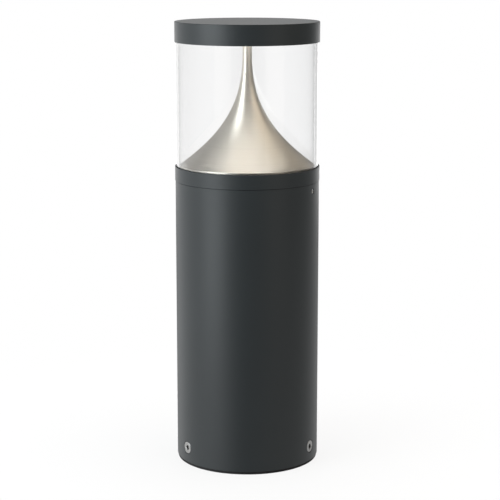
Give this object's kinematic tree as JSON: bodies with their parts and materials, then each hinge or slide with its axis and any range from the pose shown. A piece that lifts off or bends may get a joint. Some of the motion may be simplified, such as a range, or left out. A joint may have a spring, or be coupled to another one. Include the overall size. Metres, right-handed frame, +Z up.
{
  "type": "bollard light",
  "caption": "Round bollard light: a dark powder-coated post, a clear lens tube round a trumpet-shaped satin reflector, and a flat disc cap.",
  "frame": {"origin": "on the post's upright axis, on the underside of the base gasket (ground level)", "axes": "+Z up along the post's axis; -Y is the front, midway between two of the base screws; +X is to the right seen from the front"},
  "size_m": [0.191, 0.191, 0.5856],
  "materials": {
    "anthracite_powder_coat": "satin powder coat",
    "satin_champagne_metal": "spun, satin champagne anodised",
    "clear_acrylic": "clear, polished",
    "opal_acrylic": "opal, satin",
    "seal_rubber": "matt black",
    "cast_metal": "as cast and machined",
    "zinc_sheet": "zinc plated sheet",
    "stainless_steel": "stainless",
    "grey_plastic": "moulded, matt",
    "black_plastic": "moulded, matt",
    "white_plastic": "moulded, satin",
    "white_solder_mask": "printed circuit board",
    "lead_sheath": "flexible sheath",
    "earth_sheath": "green and yellow sheath",
    "tinned_copper": "tinned copper"
  },
  "bodies": {
    "post": {"base_gasket": "seal_rubber", "base_flange": "cast_metal", "body_tube": "anthracite_powder_coat", "base_screw_1": "stainless_steel", "base_screw_2": "stainless_steel", "base_screw_3": "stainless_steel", "grub_screw_1": "stainless_steel", "grub_screw_2": "stainless_steel", "box_bracket": "zinc_sheet", "bracket_screw_1": "stainless_steel", "bracket_screw_2": "stainless_steel", "terminal_box": "grey_plastic", "terminal_box_lid": "grey_plastic", "box_screw_1": "stainless_steel", "box_screw_2": "stainless_steel", "lid_screw_1": "stainless_steel", "lid_screw_2": "stainless_steel", "terminal_block": "white_plastic", "cable_gland": "black_plastic", "gland_nut": "black_plastic", "gland_locknut": "black_plastic", "dock_socket": "black_plastic", "dock_lead": "lead_sheath", "earth_bolt": "stainless_steel", "earth_lug": "tinned_copper", "earth_lead": "earth_sheath", "earth_grommet": "seal_rubber"},
    "head": {"head_collar": "anthracite_powder_coat", "spigot_seal": "seal_rubber", "lower_gasket": "seal_rubber", "upper_gasket": "seal_rubber", "lens_tube": "clear_acrylic", "reflector_cone": "satin_champagne_metal", "top_cap": "anthracite_powder_coat", "diffuser": "opal_acrylic", "led_board": "white_solder_mask", "heat_spreader": "cast_metal", "lamp_screw_1": "stainless_steel", "lamp_screw_2": "stainless_steel", "lamp_screw_3": "stainless_steel", "tie_rod": "stainless_steel", "rod_washer": "stainless_steel", "rod_nut": "stainless_steel", "bridge_plate": "zinc_sheet", "bridge_screw_1": "stainless_steel", "bridge_screw_2": "stainless_steel", "bridge_screw_3": "stainless_steel", "gear_tray": "zinc_sheet", "tray_screw_1": "stainless_steel", "tray_screw_2": "stainless_steel", "tray_nut_1": "stainless_steel", "tray_nut_2": "stainless_steel", "led_driver": "white_plastic", "driver_screw_1": "stainless_steel", "driver_screw_2": "stainless_steel", "dock_plug": "black_plastic", "supply_lead": "lead_sheath", "led_lead": "lead_sheath"}
  },
  "joints": [
    {"name": "head_lift", "type": "slide", "parent": "post", "child": "head", "axis": [0, 0, 1], "range_m": [0, 0.24]}
  ]
}
